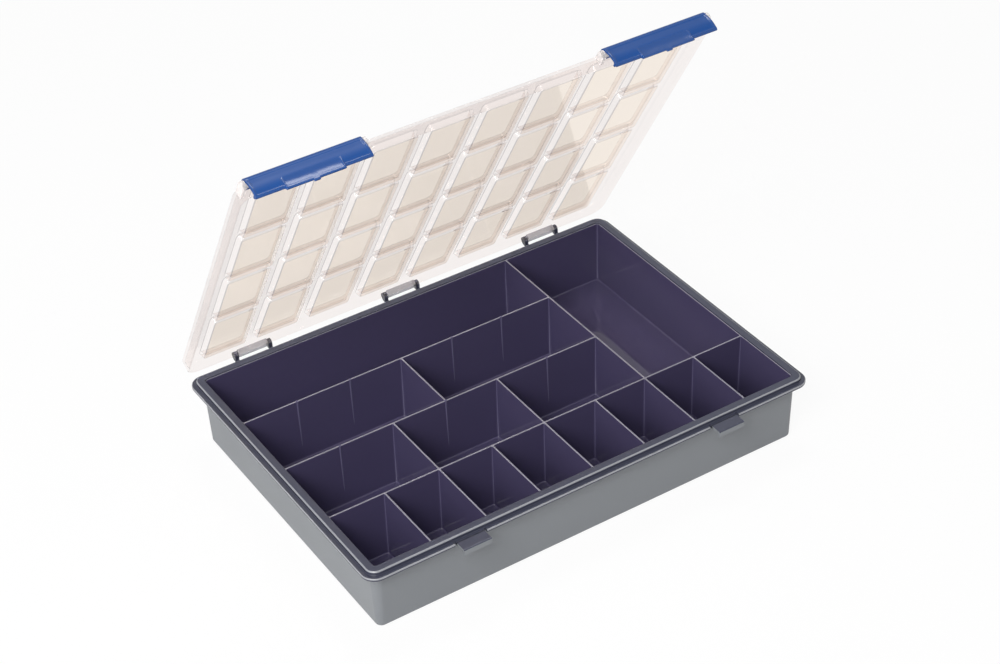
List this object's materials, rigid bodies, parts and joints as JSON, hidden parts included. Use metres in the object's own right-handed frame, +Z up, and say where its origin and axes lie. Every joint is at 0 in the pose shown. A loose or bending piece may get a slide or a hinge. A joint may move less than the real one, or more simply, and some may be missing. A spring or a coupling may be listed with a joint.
{
  "type": "compartment storage box",
  "caption": "Flat assortment box with fixed compartments of several sizes, a clear lid hinged at the back and snap clips along its front edge.",
  "frame": {"origin": "centre of the tray's flat underside", "axes": "+X to the right along the clip side, +Y towards the hinges, +Z up"},
  "size_m": [0.338, 0.256, 0.2702],
  "materials": {
    "tray_plastic": "glossy moulded plastic, dark grey",
    "clear_plastic": "clear moulded plastic",
    "clip_plastic": "glossy moulded plastic, deep blue"
  },
  "bodies": {
    "tray": {"tray": "tray_plastic"},
    "lid": {"lid": "clear_plastic"},
    "clip_left": {"clip_left": "clip_plastic"},
    "clip_right": {"clip_right": "clip_plastic"}
  },
  "joints": [
    {"name": "lid_hinge", "type": "hinge", "parent": "tray", "child": "lid", "pos_m": [0, 0.124, 0.05], "axis": [-1, 0, 0], "range_deg": [-59, 61]},
    {"name": "clip_left_hinge", "type": "hinge", "parent": "lid", "child": "clip_left", "pos_m": [-0.126, -0.00234, 0.26641], "axis": [-1, 0, 0], "range_deg": [-8, 110]},
    {"name": "clip_right_hinge", "type": "hinge", "parent": "lid", "child": "clip_right", "pos_m": [0.126, -0.00234, 0.26641], "axis": [-1, 0, 0], "range_deg": [-8, 110]}
  ]
}
